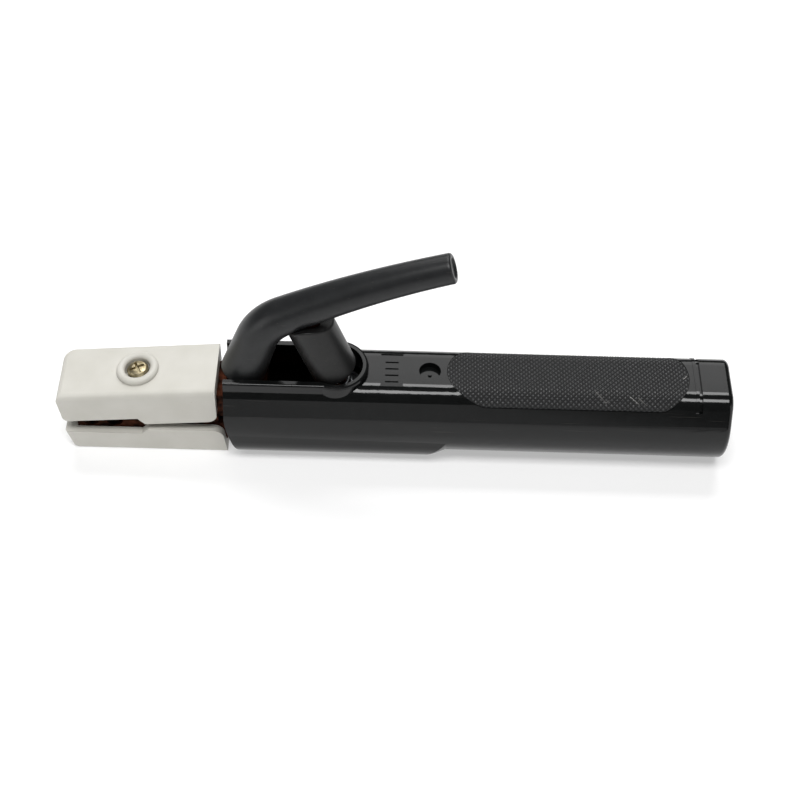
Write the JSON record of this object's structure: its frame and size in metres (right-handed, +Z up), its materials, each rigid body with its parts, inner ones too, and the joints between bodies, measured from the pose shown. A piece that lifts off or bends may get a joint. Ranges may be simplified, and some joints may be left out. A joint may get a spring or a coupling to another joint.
{
  "type": "electrode holder",
  "caption": "Hand-held welding rod holder: sprung lever opens two insulated jaws, round knurled handle with a cable socket inside.",
  "frame": {"origin": "middle of the holder's length, on the plane that it lies on", "axes": "+X from the jaws towards the cable end, +Y across, +Z up on the lever side"},
  "size_m": [0.2497, 0.036, 0.0961],
  "materials": {
    "moulded_black": "moulded, satin gloss",
    "cast_copper_alloy": "cast and machined, darkened copper alloy",
    "cream_moulding": "glass-filled moulding, fine grain",
    "zinc_steel": "zinc plated",
    "black_sleeve": "soft satin",
    "plain_steel": "turned",
    "cap_black": "moulded, satin",
    "spring_steel": "drawn wire, zinc plated",
    "sheet_copper": "rolled sheet"
  },
  "bodies": {
    "holder": {"handle_grip": "moulded_black", "size_bars": "moulded_black", "holder_body": "cast_copper_alloy", "lower_jaw_cover": "cream_moulding", "lower_cover_screw": "zinc_steel", "lower_lock_washer": "zinc_steel", "pivot_pin": "plain_steel", "pivot_clips": "plain_steel", "lever_spring": "spring_steel", "spring_seat": "cap_black", "cable_clamp_screws": "plain_steel", "cable_liner": "sheet_copper", "handle_lock_screw": "plain_steel", "lock_screw_plug": "moulded_black"},
    "lever": {"lever_arm": "cast_copper_alloy", "upper_jaw_cover": "cream_moulding", "upper_cover_screw": "zinc_steel", "upper_lock_washer": "zinc_steel", "lever_sleeve": "black_sleeve", "spring_cap": "cap_black"}
  },
  "joints": [
    {"name": "lever_squeeze", "type": "hinge", "parent": "holder", "child": "lever", "pos_m": [-0.054, 0, 0.027], "axis": [0, 1, 0], "range_deg": [0, 14], "stiffness_Nm_per_rad": 12, "springref_deg": -28.65, "deforming": ["lever_spring"]}
  ]
}
